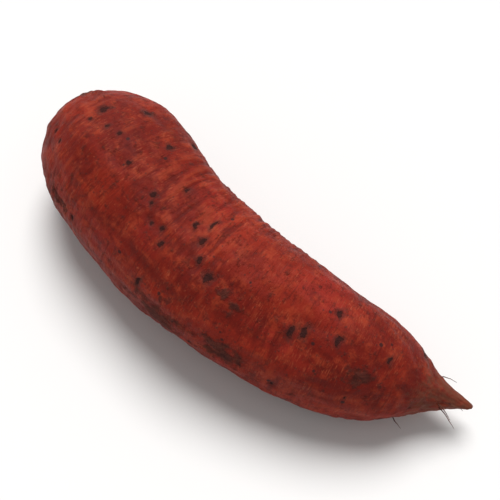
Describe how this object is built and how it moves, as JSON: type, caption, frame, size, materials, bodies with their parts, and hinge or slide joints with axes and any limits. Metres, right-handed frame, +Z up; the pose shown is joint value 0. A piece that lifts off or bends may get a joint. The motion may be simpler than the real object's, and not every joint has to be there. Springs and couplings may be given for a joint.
{
  "type": "sweet potato",
  "caption": "Whole raw sweet potato, a curved red-brown root with a rounded crown end and a tapering tail, lying on its side.",
  "frame": {"origin": "on the resting surface, under the centre of the root's bounding box", "axes": "+X along the root from its crown to its tail, +Y towards the hollow side of its bow, +Z up from the surface it rests on"},
  "size_m": [0.1768, 0.0654, 0.0525],
  "materials": {
    "skin": "raw sweet potato skin: semi-matt, dry, red-brown, with fine wrinkles across it and dark corky root scars"
  },
  "bodies": {
    "root": {"sweet_potato": "skin"}
  },
  "joints": []
}
